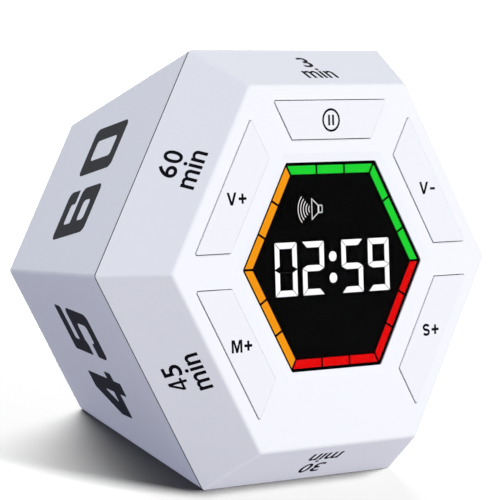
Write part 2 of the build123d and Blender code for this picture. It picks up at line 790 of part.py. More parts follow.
def make_slide_body():
    """Housing of the on-off switch, hollow for the knob's shoe."""
    body = block(SLIDE_LENGTH, SLIDE_WIDTH, slide_back, power_back, slide_middle, power_y)
    cavity = block(SLIDE_LENGTH - 2 * SLIDE_SKIN, SLIDE_WIDTH - 2 * SLIDE_SKIN,
                   slide_back + SLIDE_SKIN, power_back - SLIDE_SKIN, slide_middle, power_y)
    mouth = prism(knob_slot(KNOB_LENGTH + 2 * SLIDE_PLAY, KNOB_WIDTH + 2 * SLIDE_PLAY),
                  slide_back, slide_back + SLIDE_SKIN)
    return body - cavity - mouth


def make_slide_knob():
    """Knob of the on-off switch with a wider shoe inside the housing, shown at its right end, on."""
    shoe_back = slide_back + SLIDE_SKIN + SLIDE_PLAY
    shoe_front = shoe_back + KNOB_SHOE
    shoe_length = SLIDE_LENGTH - 2 * SLIDE_SKIN - SLIDE_TRAVEL - 2 * SLIDE_PLAY
    shoe_width = SLIDE_WIDTH - 2 * SLIDE_SKIN - 2 * SLIDE_PLAY
    shoe = block(shoe_length, shoe_width, shoe_back, shoe_front, knob_x, power_y)
    knob = block(KNOB_LENGTH, KNOB_WIDTH, KNOB_INSET - REAR_DEPTH, shoe_back, knob_x, power_y)
    tip = knob.edges().group_by(Axis.Z)[0]
    return shoe + fillet(tip, KNOB_EDGE)


def make_charge_chip():
    """Charging chip on the front of the power board."""
    width, height, thickness, x = CHARGE_CHIP
    return block(width, height, power_front, power_front + thickness, x, power_y)


def make_plug(x, y, root, inwards):
    """Plug in its header, standing on a board at a level."""
    shoulder = root + inwards * PLUG_LENGTH / 2
    tip = root + inwards * PLUG_LENGTH
    header = block(PLUG_WIDTH, PLUG_HEIGHT, root, shoulder, x, y)
    return header + block(PLUG_WIDTH - 2 * PLUG_STEP, PLUG_HEIGHT - 2 * PLUG_STEP, shoulder, tip, x, y)


plug_tip = board_back - PLUG_LENGTH


def make_lead(points):
    """Insulated lead along straight runs and the largest arcs that fit between them."""
    radii = []
    for before, corner, after in zip(points, points[1:], points[2:]):
        first = Vector(*corner) - Vector(*before)
        second = Vector(*after) - Vector(*corner)
        shorter = min(first.length, second.length)
        radii.append(LEAD_ARC_SHARE * shorter / tan(radians(first.get_angle(second) / 2)))
    route = FilletPolyline(*points, radius=radii)
    return sweep(Plane(route @ 0, z_dir=route % 0) * Circle(LEAD_DIAMETER / 2), path=route)


def battery_route(side):
    """From the cell's strip in a low arch to the top of its plug."""
    x = BATTERY_PLUG_X + side * LEAD_PITCH / 2
    y = CELL_Y - CELL_HEIGHT / 2 - STRIP_HEIGHT
    turn_y = y - BATTERY_LEAD_RUN
    arch = plug_tip - BATTERY_ARCH
    return [
        (x, y, cell_middle),
        (x, turn_y, cell_middle),
        (x, turn_y - BATTERY_LEAD_STEP, cell_middle - BATTERY_LEAD_RISE),
        (x, LOWER_PLUG_Y + BATTERY_ARCH_RUN, arch),
        (x, LOWER_PLUG_Y, arch + BATTERY_ARCH_FALL),
        (x, LOWER_PLUG_Y, plug_tip),
    ]


def supply_route(side):
    """From the power board's plug forward and down to the main board."""
    x = SUPPLY_PLUG_X + side * LEAD_PITCH / 2
    start = power_front + PLUG_LENGTH
    return [
        (x, power_y, start),
        (x, power_y, start + SUPPLY_LEAD_RISE),
        (x, LOWER_PLUG_Y, plug_tip - SUPPLY_LEAD_DROP),
        (x, LOWER_PLUG_Y, plug_tip),
    ]


def speaker_route(side):
    """From the loudspeaker's terminals forward and up to the main board."""
    x = SPEAKER_PLUG_X + side * LEAD_PITCH / 2
    y = SPEAKER_Y + SPEAKER_TERMINAL
    start = back_inner + speaker_top
    return [
        (x, y, start),
        (x, y, start + SPEAKER_LEAD_RUN),
        (x, UPPER_PLUG_Y, plug_tip - SPEAKER_LEAD_RUN),
        (x, UPPER_PLUG_Y, plug_tip),
    ]


pieces = {
    "front_shell": make_front_shell(),
    "rear_shell": make_rear_shell(),
    "case_screws": make_case_screws(),
    "display_window": make_window(),
    "display_mask": make_mask(),
    "light_box": make_light_box(),
    "display_leds": make_leds(),
    "main_board": make_main_board(),
    "board_screws": make_board_screws(),
    "controller_chip": make_chip(*CONTROLLER),
    "driver_chip": make_chip(*DRIVER),
    "gravity_sensor": make_sensor(),
    "crystal": make_crystal(),
    "capacitors": make_capacitors(),
    "battery_cell": make_cell(),
    "battery_strip": make_cell_strip(),
    "battery_tape": make_tape(),
    "speaker_gasket": make_gasket(),
    "speaker_frame": make_speaker_frame(),
    "speaker_cone": make_cone(),
    "speaker_magnet": make_magnet(),
    "power_board": make_power_board(),
    "power_screws": make_power_screws(),
    "usb_shell": make_usb_shell(),
    "usb_tongue": make_usb_tongue(),
    "slide_switch_body": make_slide_body(),
    "slide_switch_knob": make_slide_knob(),
    "charge_chip": make_charge_chip(),
    "battery_plug": make_plug(BATTERY_PLUG_X, LOWER_PLUG_Y, board_back, -1),
    "supply_plug": make_plug(SUPPLY_PLUG_X, LOWER_PLUG_Y, board_back, -1),
    "speaker_plug": make_plug(SPEAKER_PLUG_X, UPPER_PLUG_Y, board_back, -1),
    "power_plug": make_plug(SUPPLY_PLUG_X, power_y, power_front, 1),
}
for area, outlines in lit_areas.items():
    pieces[area] = make_diffusers(outlines)
for key, angle in key_angles.items():
    pieces[f"{key}_key"] = turned(angle, make_key())
    pieces[f"{key}_plunger"] = turned(angle, make_plunger())
pieces["switch_bases"] = group([turned(angle, make_switch_base()) for angle in key_angles.values()])
pieces["switch_covers"] = group([turned(angle, make_switch_cover()) for angle in key_angles.values()])
for cable, route in {"battery": battery_route, "supply": supply_route, "speaker": speaker_route}.items():
    pieces[f"{cable}_lead_red"] = make_lead(route(1))
    pieces[f"{cable}_lead_black"] = make_lead(route(-1))

# The case stands on its lower rear facet, with the middle of its box over the origin
tilt = Rot(90 - REAR_SLOPE, 0, 0)
seam_height = seam_apothem * cos(radians(REAR_SLOPE))
front_reach = face_apothem * sin(radians(REAR_SLOPE)) + FRONT_DEPTH * cos(radians(REAR_SLOPE))
back_reach = back_apothem * sin(radians(REAR_SLOPE)) + REAR_DEPTH * cos(radians(REAR_SLOPE))
stance = Pos(0, (front_reach - back_reach) / 2, seam_height) * tilt

os.makedirs("parts", exist_ok=True)
for name, piece in pieces.items():
    export_step(stance * piece, f"parts/{name}.step")
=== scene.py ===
import bpy
import json
from math import atan2, cos, pi, radians, sin, tan
from mathutils import Matrix, Quaternion, Vector


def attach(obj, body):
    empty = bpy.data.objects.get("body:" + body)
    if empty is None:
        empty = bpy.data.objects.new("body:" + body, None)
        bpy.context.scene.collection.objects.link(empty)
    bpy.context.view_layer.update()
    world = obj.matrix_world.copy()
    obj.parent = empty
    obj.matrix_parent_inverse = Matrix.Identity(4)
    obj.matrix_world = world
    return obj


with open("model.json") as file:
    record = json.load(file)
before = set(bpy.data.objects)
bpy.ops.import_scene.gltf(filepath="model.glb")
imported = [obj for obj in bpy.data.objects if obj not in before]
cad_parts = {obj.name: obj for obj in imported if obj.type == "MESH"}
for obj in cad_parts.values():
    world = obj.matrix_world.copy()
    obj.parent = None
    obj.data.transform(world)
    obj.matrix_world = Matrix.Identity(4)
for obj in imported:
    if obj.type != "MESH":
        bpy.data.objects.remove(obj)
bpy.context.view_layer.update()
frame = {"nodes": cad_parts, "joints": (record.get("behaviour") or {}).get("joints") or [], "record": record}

bpy.ops.object.select_all(action="DESELECT")


# Front shell: a shallow hexagonal tray moulded in white ABS with a fine spark-eroded grain.
# Everything is mounted in it, and its six sloping sides carry the short time marks.
class Shade:
    """One output in a node tree: arithmetic on it adds Math nodes, and node() adds any other."""

    def __init__(self, tree, socket=None):
        self.tree = tree
        self.socket = socket

    def node(self, kind, settings=None, inputs=None, output=0):
        """Adds a node with its settings, and with values or links for its inputs."""
        made = self.tree.nodes.new(kind)
        for name, value in (settings or {}).items():
            setattr(made, name, value)
        for name, value in (inputs or {}).items():
            if isinstance(value, Shade):
                self.tree.links.new(value.socket, made.inputs[name])
            else:
                made.inputs[name].default_value = value
        return Shade(self.tree, made.outputs[output] if made.outputs else None)

    def math(self, operation, first, second):
        return self.node("ShaderNodeMath", {"operation": operation}, {0: first, 1: second})

    def __add__(self, other):
        return self.math("ADD", self, other)

    def __sub__(self, other):
        return self.math("SUBTRACT", self, other)

    def __mul__(self, other):
        return self.math("MULTIPLY", self, other)

    def __rsub__(self, other):
        return self.math("SUBTRACT", other, self)

    __radd__ = __add__
    __rmul__ = __mul__

    def blend(self, first, second):
        """A colour between two, by this share."""
        # The Mix node takes its colours at inputs 6 and 7, and gives the blended one at output 2
        colours = {0: self}
        for socket, colour in ((6, first), (7, second)):
            colours[socket] = colour if isinstance(colour, Shade) else (*colour, 1.0)
        return self.node("ShaderNodeMix", {"data_type": "RGBA"}, colours, output=2)

    def noise(self, size, stretch=(1.0, 1.0, 1.0), detail=3.0):
        """Cloudy pattern with patches of a size in metres, which may be stretched along an axis."""
        place = self.node("ShaderNodeTexCoord", output="Object")
        place = self.node("ShaderNodeMapping", inputs={"Vector": place, "Scale": stretch})
        inputs = {"Vector": place, "Scale": 1 / size, "Detail": detail}
        return self.node("ShaderNodeTexNoise", inputs=inputs)

    def waver(self, middle, spread):
        """A level that this pattern, which runs from 0 to 1, spreads about a middle."""
        return middle + (self - 0.5) * spread

    def dents(self, strength, depth):
        """Normals of a surface that this pattern dents, to a depth in metres."""
        inputs = {"Strength": strength, "Distance": depth, "Height": self}
        return self.node("ShaderNodeBump", inputs=inputs)


def emptied(owner):
    """Clears the node tree of a material or world, and gives the shade that adds nodes to it."""
    owner.use_nodes = True
    owner.node_tree.nodes.clear()
    return Shade(owner.node_tree)


def surface(name, paint):
    """A material whose principled shader takes what paint() gives for its sockets."""
    material = bpy.data.materials.new(name)
    shade = emptied(material)
    shader = shade.node("ShaderNodeBsdfPrincipled", inputs=paint(shade))
    shade.node("ShaderNodeOutputMaterial", inputs={"Surface": shader})
    return material


GRAIN_SPREAD = 0.25
GRAIN_STRENGTH = 0.35


def grained(shade, colour, grain, roughness, depth, gloss):
    """Sockets of an opaque finish with a fine grain that roughens and dents it."""
    fine = shade.noise(grain)
    return {
        "Base Color": colour,
        "Roughness": fine.waver(roughness, GRAIN_SPREAD),
        "Specular IOR Level": gloss,
        "Normal": fine.dents(GRAIN_STRENGTH, depth),
    }


def moulded(name, dark, light, grain, roughness, depth, patch=0.02, gloss=0.5):
    """Grained finish with a slow drift of colour, in patches of a size in metres."""
    def paint(shade):
        colour = shade.noise(patch).blend(dark, light)
        return grained(shade, colour, grain, roughness, depth, gloss)
    return surface(name, paint)


def dress(material, *names):
    """Gives a finish to nodes of the frame."""
    for name in names:
        for slot in frame["nodes"][name].material_slots:
            slot.material = material


# Depths of the two shells from the seam, in metres, and the slopes of their sides
FRONT_DEPTH = 0.0109
REAR_DEPTH = 0.042
FRONT_SLOPE = radians(30)
REAR_SLOPE = radians(15)
MILLIMETRE = 0.001
face_out = -Vector(next(j["axis"] for j in frame["joints"] if j["name"] == "pause_press"))
face_right = Vector((1, 0, 0))
face_up = face_out.cross(face_right)
rests = {m["name"]: m for m in frame["record"]["mounts"] if m["name"].startswith("rest_")}


def rear_facet(rest):
    """Middle of a facet's edge on the seam, the way to it from the case's middle, and the way back."""
    radial = (Vector(rests[rest]["axis"]) + face_out * sin(REAR_SLOPE)) / cos(REAR_SLOPE)
    rearward = -radial * sin(REAR_SLOPE) - face_out * cos(REAR_SLOPE)
    edge = Vector(rests[rest]["pos_m"]) - rearward * (REAR_DEPTH / 2 / cos(REAR_SLOPE))
    return edge, radial, rearward


seam_middle = sum((rear_facet(rest)[0] for rest in rests), Vector()) / len(rests)
# Width of the seam's groove and a margin past its walls, in metres
SEAM_GAP = 0.0004
SEAM_MARGIN = 0.00001
# Colour of the groove: painted shade, darker than the case where the seam's groove lies in shadow
GROOVE_PAINTED_SHADE = (0.18, 0.18, 0.19)
CASE_SHADES = ((0.872, 0.880, 0.915), (0.886, 0.894, 0.928))
CASE_PATCH = 0.02


def case_finish(shade):
    """White with a fine grain, and painted shade in the groove of the seam, where little light reaches."""
    place = shade.node("ShaderNodeTexCoord", output="Object")
    ways = {0: place, 1: face_out}
    level = shade.node("ShaderNodeVectorMath", {"operation": "DOT_PRODUCT"}, ways, output="Value")
    span = {0: level, 1: seam_middle.dot(face_out) - SEAM_GAP / 2, 2: SEAM_GAP / 2 + SEAM_MARGIN}
    in_groove = shade.node("ShaderNodeMath", {"operation": "COMPARE"}, span)
    white = shade.noise(CASE_PATCH).blend(*CASE_SHADES)
    colour = in_groove.blend(white, GROOVE_PAINTED_SHADE)
    return grained(shade, colour, grain=0.00028, roughness=0.42, depth=0.00003, gloss=0.4)


case_white = surface("case_white", case_finish)
dress(case_white, "front_shell")

# Signs are drawn in millimetres: thickness of their ink, reach within which points merge, boldness of type
INK = 0.02
MERGE_REACH = 0.001
TYPE_WEIGHT = 0.014


def select_only(piece):
    bpy.ops.object.select_all(action="DESELECT")
    piece.select_set(True)
    bpy.context.view_layer.objects.active = piece


def closed_mesh(sign, thickness=INK, edge=0.0):
    """Turns a flat filled curve or text into a closed thin mesh that stands on its own plane."""
    sign.data.extrude = thickness / 2 - edge
    sign.data.bevel_depth = edge
    select_only(sign)
    bpy.ops.object.convert(target="MESH")
    bpy.ops.object.mode_set(mode="EDIT")
    bpy.ops.mesh.select_all(action="SELECT")
    bpy.ops.mesh.remove_doubles(threshold=MERGE_REACH)
    bpy.ops.mesh.normals_make_consistent(inside=False)
    bpy.ops.transform.translate(value=(0, 0, thickness / 2))
    bpy.ops.object.mode_set(mode="OBJECT")
    return sign


def lettering(name, words, width, height):
    """Words in plain type, fitted to a width and height in millimetres about their middle."""
    bpy.ops.object.text_add()
    sign = bpy.context.object
    sign.name = name
    sign.data.body = words
    sign.data.size = height
    sign.data.offset = height * TYPE_WEIGHT
    closed_mesh(sign)
    low = Vector([min(v.co[axis] for v in sign.data.vertices) for axis in range(3)])
    high = Vector([max(v.co[axis] for v in sign.data.vertices) for axis in range(3)])
    middle = (low + high) / 2
    wider = width / (high.x - low.x)
    taller = height / (high.y - low.y)
    sign.location = (-middle.x * wider, -middle.y * taller, 0)
    sign.scale = (wider, taller, 1)
    bpy.ops.object.transform_apply(location=True, rotation=True, scale=True)
    return sign


def lay(sign, middle, right, out):
    """Puts a sign drawn in millimetres on a face of the case, and fixes it there."""
    turn = Matrix((right, out.cross(right), out)).transposed().to_4x4()
    sign.matrix_world = Matrix.Translation(middle) @ turn @ Matrix.Scale(MILLIMETRE, 4)
    select_only(sign)
    bpy.ops.object.transform_apply(location=True, rotation=True, scale=True)


def printed(name, loops, thickness=INK, edge=0.0):
    """Closed outlines in millimetres filled with ink, where a loop inside another is a hole.

    A layer thicker than ink may have its edges rounded.
    """
    outline = bpy.data.curves.new(name, "CURVE")
    outline.dimensions = "2D"
    outline.fill_mode = "BOTH"
    outline.offset = -edge
    for points in loops:
        spline = outline.splines.new("POLY")
        spline.points.add(len(points) - 1)
        spline.use_cyclic_u = True
        for point, (x, y) in zip(spline.points, points):
            point.co = (x, y, 0, 1)
    sign = bpy.data.objects.new(name, outline)
    bpy.context.scene.collection.objects.link(sign)
    return closed_mesh(sign, thickness, edge)


mark_ink = moulded("mark_ink", (0.002, 0.002, 0.004), (0.004, 0.004, 0.007),
                   grain=0.0003, roughness=0.55, depth=0.000004, patch=0.003, gloss=0.05)
# Each side's figures, and how far its mark stands along the side and towards the face, in millimetres
MINUTES = {
    "upper": ("3", 0.68, 0.0),
    "upper_left": ("60", 0.78, 0.13),
    "lower_left": ("45", -0.07, 0.12),
    "lower": ("30", 0.23, -0.34),
    "lower_right": ("15", 0.4, 0.0),
    "upper_right": ("5", 0.4, 0.0),
}
MARK_HEIGHT = 3.4
UNIT_WIDTH = 6.8
FIGURE_WIDTH = 2.15
FIGURE_STEP = 2.62
FIGURE_DEPTH = 4.6
UNIT_DEPTH = 8.45
# Two figures have outlines of their own, about their middle: a one with a slanting flag, and a four
OWN_FIGURES = {
    "1": [
        [(0.10, -1.7), (0.60, -1.7), (0.60, 1.7), (0.18, 1.7), (-0.60, 1.14), (-0.60, 0.60),
         (0.10, 1.02)],
    ],
    "4": [
        [(0.17, -1.7), (0.63, -1.7), (0.63, -0.93), (1.12, -0.93), (1.12, -0.51), (0.63, -0.51),
         (0.63, 1.7), (0.08, 1.7), (-1.12, -0.46), (-1.12, -0.93), (0.17, -0.93)],
        [(-0.66, -0.51), (0.17, -0.51), (0.17, 0.98)],
    ],
}
for side, (minutes, aside, forth) in MINUTES.items():
    edge, radial, _ = rear_facet("rest_" + side)
    out = radial * cos(FRONT_SLOPE) + face_out * sin(FRONT_SLOPE)
    forward = face_out * cos(FRONT_SLOPE) - radial * sin(FRONT_SLOPE)
    along = out.cross(forward)
    signs = [(lettering("unit_" + side, "min", UNIT_WIDTH, MARK_HEIGHT), 0.0, UNIT_DEPTH)]
    for place, figure in enumerate(minutes):
        name = "minutes_" + side + "_" + figure
        if figure in OWN_FIGURES:
            sign = printed(name, OWN_FIGURES[figure])
        else:
            sign = lettering(name, figure, FIGURE_WIDTH, MARK_HEIGHT)
        signs.append((sign, (place - (len(minutes) - 1) / 2) * FIGURE_STEP, FIGURE_DEPTH))
    for sign, start, depth in signs:
        lay(sign, edge + (along * (start + aside) + forward * (depth + forth)) * MILLIMETRE, along, out)
        sign.data.materials.append(mark_ink)
        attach(sign, "case")


# Keys: five white caps, each with a soft white skin moulded over its front, just proud of the face.
# Each slides in its opening on a stem over its switch, so its skin and printed legend move with it.
KEYS = ("pause", "volume_up", "volume_down", "minute", "second")
key_white = moulded("key_white", (0.846, 0.852, 0.882), (0.860, 0.866, 0.896),
                    grain=0.0002, roughness=0.36, depth=0.00002)
dress(key_white, *[key + "_key" for key in KEYS])
# Bevel of the caps, and the skins' height above the face and rounded edge, in millimetres
KEY_EDGE = 0.1
SKIN_RISE = 0.2
SKIN_EDGE = 0.06
# Levels of the skins above the seam, and a margin for finding corners at a level, in metres
SKIN_BACK = FRONT_DEPTH - KEY_EDGE * MILLIMETRE
SKIN_FRONT = FRONT_DEPTH + SKIN_RISE * MILLIMETRE
LEVEL_MARGIN = 0.000001
CORNER_DIGITS = 3


def on_face(x, y, level):
    """Point at millimetres right of and above the middle of the front face, at a level above the seam."""
    return seam_middle + (face_right * x + face_up * y) * MILLIMETRE + face_out * level


for key in KEYS:
    # The skin takes its outline from the key's, just under its bevelled edge, and wraps that edge
    corners = set()
    for vertex in frame["nodes"][key + "_key"].data.vertices:
        place = vertex.co - seam_middle
        if abs(place.dot(face_out) - SKIN_BACK) < LEVEL_MARGIN:
            x = place.dot(face_right) / MILLIMETRE
            y = place.dot(face_up) / MILLIMETRE
            corners.add((round(x, CORNER_DIGITS), round(y, CORNER_DIGITS)))
    middle = sum((Vector(corner) for corner in corners), Vector((0, 0))) / len(corners)
    outline = sorted(corners, key=lambda corner: atan2(corner[1] - middle.y, corner[0] - middle.x))
    skin = printed(key + "_skin", [outline], KEY_EDGE + SKIN_RISE, SKIN_EDGE)
    lay(skin, on_face(0, 0, SKIN_BACK), face_right, face_out)
    skin.data.materials.append(key_white)
    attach(skin, key + "_button")

# Words of the legends, and the places of their middles on the face
LEGENDS = {
    "volume_up": ("V+", (-21.17, 11.7)),
    "volume_down": ("V-", (21.43, 12.3)),
    "minute": ("M+", (-20.97, -12.2)),
    "second": ("S+", (21.33, -12.0)),
}
LEGEND_GAP = 0.45
# Outlines of the bold letters and signs, from their left end and about the middle of their height
LETTERS = {
    "V": [(0, 1.05), (0.78, -1.05), (1.27, -1.05), (2.05, 1.05), (1.56, 1.05), (1.025, -0.48),
          (0.49, 1.05)],
    "M": [(0, -1.05), (0, 1.05), (0.63, 1.05), (1.125, -0.32), (1.62, 1.05), (2.25, 1.05), (2.25, -1.05),
          (1.82, -1.05), (1.82, 0.52), (1.33, -1.05), (0.92, -1.05), (0.43, 0.52), (0.43, -1.05)],
    "+": [(0, -0.22), (0.605, -0.22), (0.605, -0.825), (1.045, -0.825), (1.045, -0.22), (1.65, -0.22),
          (1.65, 0.22), (1.045, 0.22), (1.045, 0.825), (0.605, 0.825), (0.605, 0.22), (0, 0.22)],
    "-": [(0, -0.32), (1.15, -0.32), (1.15, 0.08), (0, 0.08)],
}
# The letter S is a band along two bowls, each half of an ellipse and a little more, turned in degrees
BOWL_WIDTH = 0.61
BOWL_HEIGHT = 0.42
BOWL_START = 20
BOWL_SWEEP = 250
BOWL_STEPS = 20
S_STROKE = 0.42
S_MIDDLE = BOWL_WIDTH + S_STROKE / 2
bowl_turns = [radians(BOWL_START + BOWL_SWEEP * step / BOWL_STEPS) for step in range(BOWL_STEPS + 1)]
s_sides = {1: [], -1: []}
for side, points in s_sides.items():
    for turn in bowl_turns:
        outward = Vector((BOWL_HEIGHT * cos(turn), BOWL_WIDTH * sin(turn))).normalized()
        across = outward * side * S_STROKE / 2
        points.append((BOWL_WIDTH * cos(turn) + across.x, BOWL_HEIGHT * (1 + sin(turn)) + across.y))
outer_half = s_sides[1] + [(-x, -y) for x, y in reversed(s_sides[-1])][1:]
inner_half = s_sides[-1] + [(-x, -y) for x, y in reversed(s_sides[1])][1:]
LETTERS["S"] = [(x + S_MIDDLE, y) for x, y in outer_half + inner_half[::-1]]
for key, (words, (x, y)) in LEGENDS.items():
    widths = [max(a for a, b in LETTERS[letter]) for letter in words]
    left = -(sum(widths) + LEGEND_GAP) / 2
    loops = []
    for letter, width in zip(words, widths):
        loops.append([(a + left, b) for a, b in LETTERS[letter]])
        left += width + LEGEND_GAP
    legend = printed(key + "_legend", loops)
    lay(legend, on_face(x, y, SKIN_FRONT), face_right, face_out)
    legend.data.materials.append(mark_ink)
    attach(legend, key + "_button")


def circle(radius, steps=48):
    """Points of a circle in millimetres."""
    turns = [2 * pi * step / steps for step in range(steps)]
    return [(radius * cos(turn), radius * sin(turn)) for turn in turns]


def bar(x, y, width, height):
    """Corners of an upright bar about its middle."""
    return [(x + a * width / 2, y + b * height / 2) for a, b in ((-1, -1), (1, -1), (1, 1), (-1, 1))]


PAUSE_RADIUS = 1.96
PAUSE_STROKE = 0.36
PAUSE_BAR = (0.42, 1.75)
PAUSE_SPACING = 0.9
PAUSE_PLACE = (-0.17, 24.2)
pause_loops = [circle(PAUSE_RADIUS), circle(PAUSE_RADIUS - PAUSE_STROKE)]
pause_loops += [bar(side * PAUSE_SPACING / 2, 0, *PAUSE_BAR) for side in (-1, 1)]
pause_symbol = printed("pause_symbol", pause_loops)
lay(pause_symbol, on_face(*PAUSE_PLACE, SKIN_FRONT), face_right, face_out)
pause_symbol.data.materials.append(mark_ink)
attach(pause_symbol, "pause_button")


# Key switches: square push switches with a black base and plunger under a folded steel cover.
# They are soldered to the main board, one under each key.
black_plastic = moulded("black_plastic", (0.012, 0.012, 0.014), (0.022, 0.022, 0.025),
                        grain=0.0003, roughness=0.45, depth=0.00002)
dress(black_plastic, "switch_bases", *[key + "_plunger" for key in KEYS])
STREAK_SIZE = 0.0012
STREAK_SPREAD = 0.2
STREAK_STRENGTH = 0.1
STREAK_DEPTH = 0.00001


def plated(name, dark, light, roughness, stretch):
    """Plated steel with the fine streaks that rolling or turning leaves."""
    def paint(shade):
        streaks = shade.noise(STREAK_SIZE, stretch=stretch)
        return {
            "Base Color": streaks.blend(dark, light),
            "Metallic": 1.0,
            "Roughness": streaks.waver(roughness, STREAK_SPREAD),
            "Normal": streaks.dents(STREAK_STRENGTH, STREAK_DEPTH),
        }
    return surface(name, paint)


steel = plated("steel", (0.52, 0.52, 0.54), (0.68, 0.68, 0.69), roughness=0.3, stretch=(1.0, 12.0, 12.0))
dress(steel, "switch_covers")


# Display window: a thin clear film, die-cut to the opening and glued to the mask behind it.
# Its coats against glare let it mirror the room only faintly.
COATED_IOR = 1.06
SMEAR_SIZE = 0.006
SMEAR_DETAIL = 4.0
SMEAR_ROUGHNESS = 0.05


def clear_film(shade):
    """Clear plastic with faint smears in its colour and gloss."""
    smears = shade.noise(SMEAR_SIZE, detail=SMEAR_DETAIL)
    return {
        "Base Color": smears.blend((0.93, 0.93, 0.94), (0.97, 0.97, 0.98)),
        "Roughness": smears * SMEAR_ROUGHNESS,
        "IOR": COATED_IOR,
        "Transmission Weight": 1.0,
    }


dress(surface("clear_film", clear_film), "display_window")


# Display mask: matt black film behind the window with a hole for every lit area.
# The unlit figure bars and the field of the sound symbol are smoked, so they look black too.
mask_black = moulded("mask_black", (0.0012, 0.0012, 0.0013), (0.0022, 0.0022, 0.0024),
                     grain=0.0002, roughness=0.7, depth=0.00001, gloss=0.0)
dress(mask_black, "display_mask")
# The plugs are painted a little lighter than the mask: painted light against the shade of their recess
# behind it
smoked = moulded("smoked", (0.0024, 0.0024, 0.0026), (0.0038, 0.0038, 0.0041),
                 grain=0.0002, roughness=0.7, depth=0.00001, gloss=0.0)
dress(smoked, "digit_bars_unlit", "symbol_field")


# Lit areas: milky plugs in the mask's holes that glow in the colour of the LED behind them.
# The ring's bars run from green through red to orange, and the figures and colon are white.
RING_STRENGTH = 1.1
FIGURE_STRENGTH = 1.15
# Share of the lit colour at the dim end of the glow's random patches and in the plastic itself, and the
# sizes of their patches
GLOW_DIM_SHARE = 0.93
GLOW_PATCH = 0.004
PLUG_TINT = 0.03
PLUG_BLACK = (0.002, 0.002, 0.002)
PLUG_PATCH = 0.002


def lit(name, colour, strength):
    """Milky plastic with a painted glow that stands in for the LED behind it, a little brighter in random
    patches.
    """
    edge = [GLOW_DIM_SHARE * part for part in colour]
    tint = [PLUG_TINT * part for part in colour]

    def paint(shade):
        return {
            "Base Color": shade.noise(PLUG_PATCH).blend(tint, PLUG_BLACK),
            "Roughness": 0.4,
            "Specular IOR Level": 0.03,
            "Emission Color": shade.noise(GLOW_PATCH).blend(edge, colour),
            "Emission Strength": strength,
        }
    return surface(name, paint)


dress(lit("lit_green", (0.010, 0.640, 0.028), RING_STRENGTH), "ring_bars_green")
dress(lit("lit_red", (0.740, 0.0006, 0.0006), RING_STRENGTH), "ring_bars_red")
dress(lit("lit_orange", (0.900, 0.310, 0.004), RING_STRENGTH), "ring_bars_orange")
dress(lit("lit_white", (1.0, 1.0, 1.0), FIGURE_STRENGTH), "digit_bars_lit", "colon_dots")


# Sound symbol: a fine white line drawing of a loudspeaker with five waves.
# It is printed in lit ink on a black film, which is stuck over the smoked field behind the window.
MASK_FRONT = 0.01035
SYMBOL_STRENGTH = 1.0
SYMBOL_STROKE = 0.15
SYMBOL_CENTRE = (-4.35, 9.5)
WAVE_RADII = (0.75, 1.33, 1.91, 2.49, 3.07)
WAVE_SPREAD = radians(44)
# Left and right ends of the loudspeaker's horn and back, and half their heights there
HORN = (-0.1, 1.42, 1.85, 0.66)
HORN_BACK = (1.42, 2.3, 0.68, 0.68)
# Middle, width and height of the film
SYMBOL_FIELD = (-4.6, 9.3, 7.2, 6.0)


def wave(radius, steps=14):
    """Band along an arc that opens to the right, about the loudspeaker's mouth."""
    turns = [pi + WAVE_SPREAD * (2 * step / steps - 1) for step in range(steps + 1)]
    outer = [(radius + SYMBOL_STROKE / 2, turn) for turn in turns]
    inner = [(radius - SYMBOL_STROKE / 2, turn) for turn in reversed(turns)]
    return [(r * cos(turn), r * sin(turn)) for r, turn in outer + inner]


def framed(left, right, left_half, right_half):
    """Outline of an upright trapezoid and the hole that leaves its line."""
    slope = (right_half - left_half) / (right - left)
    step = SYMBOL_STROKE * (1 + slope * slope) ** 0.5
    inner_left = left + SYMBOL_STROKE
    inner_right = right - SYMBOL_STROKE
    low = left_half + slope * SYMBOL_STROKE - step
    high = right_half - slope * SYMBOL_STROKE - step
    return [
        [(left, -left_half), (right, -right_half), (right, right_half), (left, left_half)],
        [(inner_left, -low), (inner_right, -high), (inner_right, high), (inner_left, low)],
    ]


symbol_film = printed("symbol_film", [bar(*SYMBOL_FIELD)])
lay(symbol_film, on_face(0, 0, MASK_FRONT), face_right, face_out)
symbol_film.data.materials.append(mask_black)
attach(symbol_film, "case")
symbol_loops = [wave(radius) for radius in WAVE_RADII] + framed(*HORN) + framed(*HORN_BACK)
sound_symbol = printed("sound_symbol", symbol_loops)
lay(sound_symbol, on_face(*SYMBOL_CENTRE, MASK_FRONT + INK * MILLIMETRE), face_right, face_out)
sound_symbol.data.materials.append(lit("symbol_white", (0.85, 0.85, 0.85), SYMBOL_STRENGTH))
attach(sound_symbol, "case")


# Light box: a white moulded block pegged to the board, with a chamber over each LED.
# The small LEDs lie along their chambers.
box_white = moulded("box_white", (0.80, 0.80, 0.79), (0.86, 0.86, 0.85),
                    grain=0.0004, roughness=0.5, depth=0.00002)
dress(box_white, "light_box")
led_resin = moulded("led_resin", (0.78, 0.70, 0.34), (0.88, 0.82, 0.50),
                    grain=0.0004, roughness=0.25, depth=0.00001)
dress(led_resin, "display_leds")


# Boards: glass fibre with green solder mask, the main one behind the display, the small one at the back.
# Chips, crystal and capacitors are soldered on.
WEAVE_SIZE = 0.0006
WEAVE_SPREAD = 0.2
WEAVE_STRENGTH = 0.2
WEAVE_DEPTH = 0.00002
TRACK_SIZE = 0.004
MASK_ROUGHNESS = 0.3


def solder_mask(shade):
    """Green lacquer that is paler over copper tracks and shows the weave of the glass."""
    weave = shade.noise(WEAVE_SIZE, stretch=(1.0, 6.0, 6.0))
    tracks = shade.noise(TRACK_SIZE, stretch=(1.0, 3.0, 3.0), detail=1.0)
    return {
        "Base Color": tracks.blend((0.010, 0.085, 0.045), (0.022, 0.160, 0.085)),
        "Roughness": weave.waver(MASK_ROUGHNESS, WEAVE_SPREAD),
        "Normal": weave.dents(WEAVE_STRENGTH, WEAVE_DEPTH),
    }


